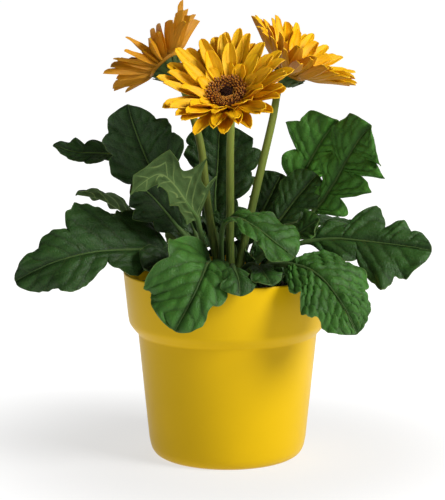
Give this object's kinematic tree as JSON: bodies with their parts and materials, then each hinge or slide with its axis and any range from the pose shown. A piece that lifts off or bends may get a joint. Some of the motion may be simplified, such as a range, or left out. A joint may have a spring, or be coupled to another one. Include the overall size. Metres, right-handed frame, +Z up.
{
  "type": "potted gerbera",
  "caption": "Yellow gerbera daisies on upright stems over a rosette of lobed green leaves, standing in a round yellow pot with a deep rim band.",
  "frame": {"origin": "centre of the pot's flat base", "axes": "+Z up along the pot's axis, -Y towards the front bloom, +X to the viewer's right"},
  "size_m": [0.323, 0.231, 0.3609],
  "materials": {
    "pot_yellow": "smooth satin yellow, one colour inside and out",
    "soil": "dark, matt, crumbly potting soil",
    "leaf_green": "soft sheen, quilted between paler veins",
    "stem_green": "matt, finely downy pale green",
    "ray_yellow": "velvety yellow petals, orange in the shade",
    "disc_brown": "brown florets with yellow tips",
    "eye_dark": "near black buds, matt"
  },
  "bodies": {
    "root": {"disc_front": "disc_brown", "disc_left": "disc_brown", "disc_right": "disc_brown", "eye_front": "eye_dark", "eye_left": "eye_dark", "eye_right": "eye_dark", "leaf_back_centre": "leaf_green", "leaf_back_right": "leaf_green", "leaf_dark_left": "leaf_green", "leaf_far_left": "leaf_green", "leaf_front_centre": "leaf_green", "leaf_front_left": "leaf_green", "leaf_inner_right": "leaf_green", "leaf_left_mid": "leaf_green", "leaf_left_tip": "leaf_green", "leaf_low_front": "leaf_green", "leaf_low_left": "leaf_green", "leaf_lower_right": "leaf_green", "leaf_rear": "leaf_green", "leaf_rear_left": "leaf_green", "leaf_rear_right": "leaf_green", "leaf_right": "leaf_green", "leaf_side_right": "leaf_green", "leaf_small_right": "leaf_green", "leaf_star": "leaf_green", "leaf_upper_left": "leaf_green", "leaf_upper_right_a": "leaf_green", "leaf_upper_right_b": "leaf_green", "leaf_young_left": "leaf_green", "pot": "pot_yellow", "rays_front": "ray_yellow", "rays_left": "ray_yellow", "rays_right": "ray_yellow", "soil": "soil", "stem_front": "stem_green", "stem_left": "stem_green", "stem_right": "stem_green"}
  },
  "joints": []
}
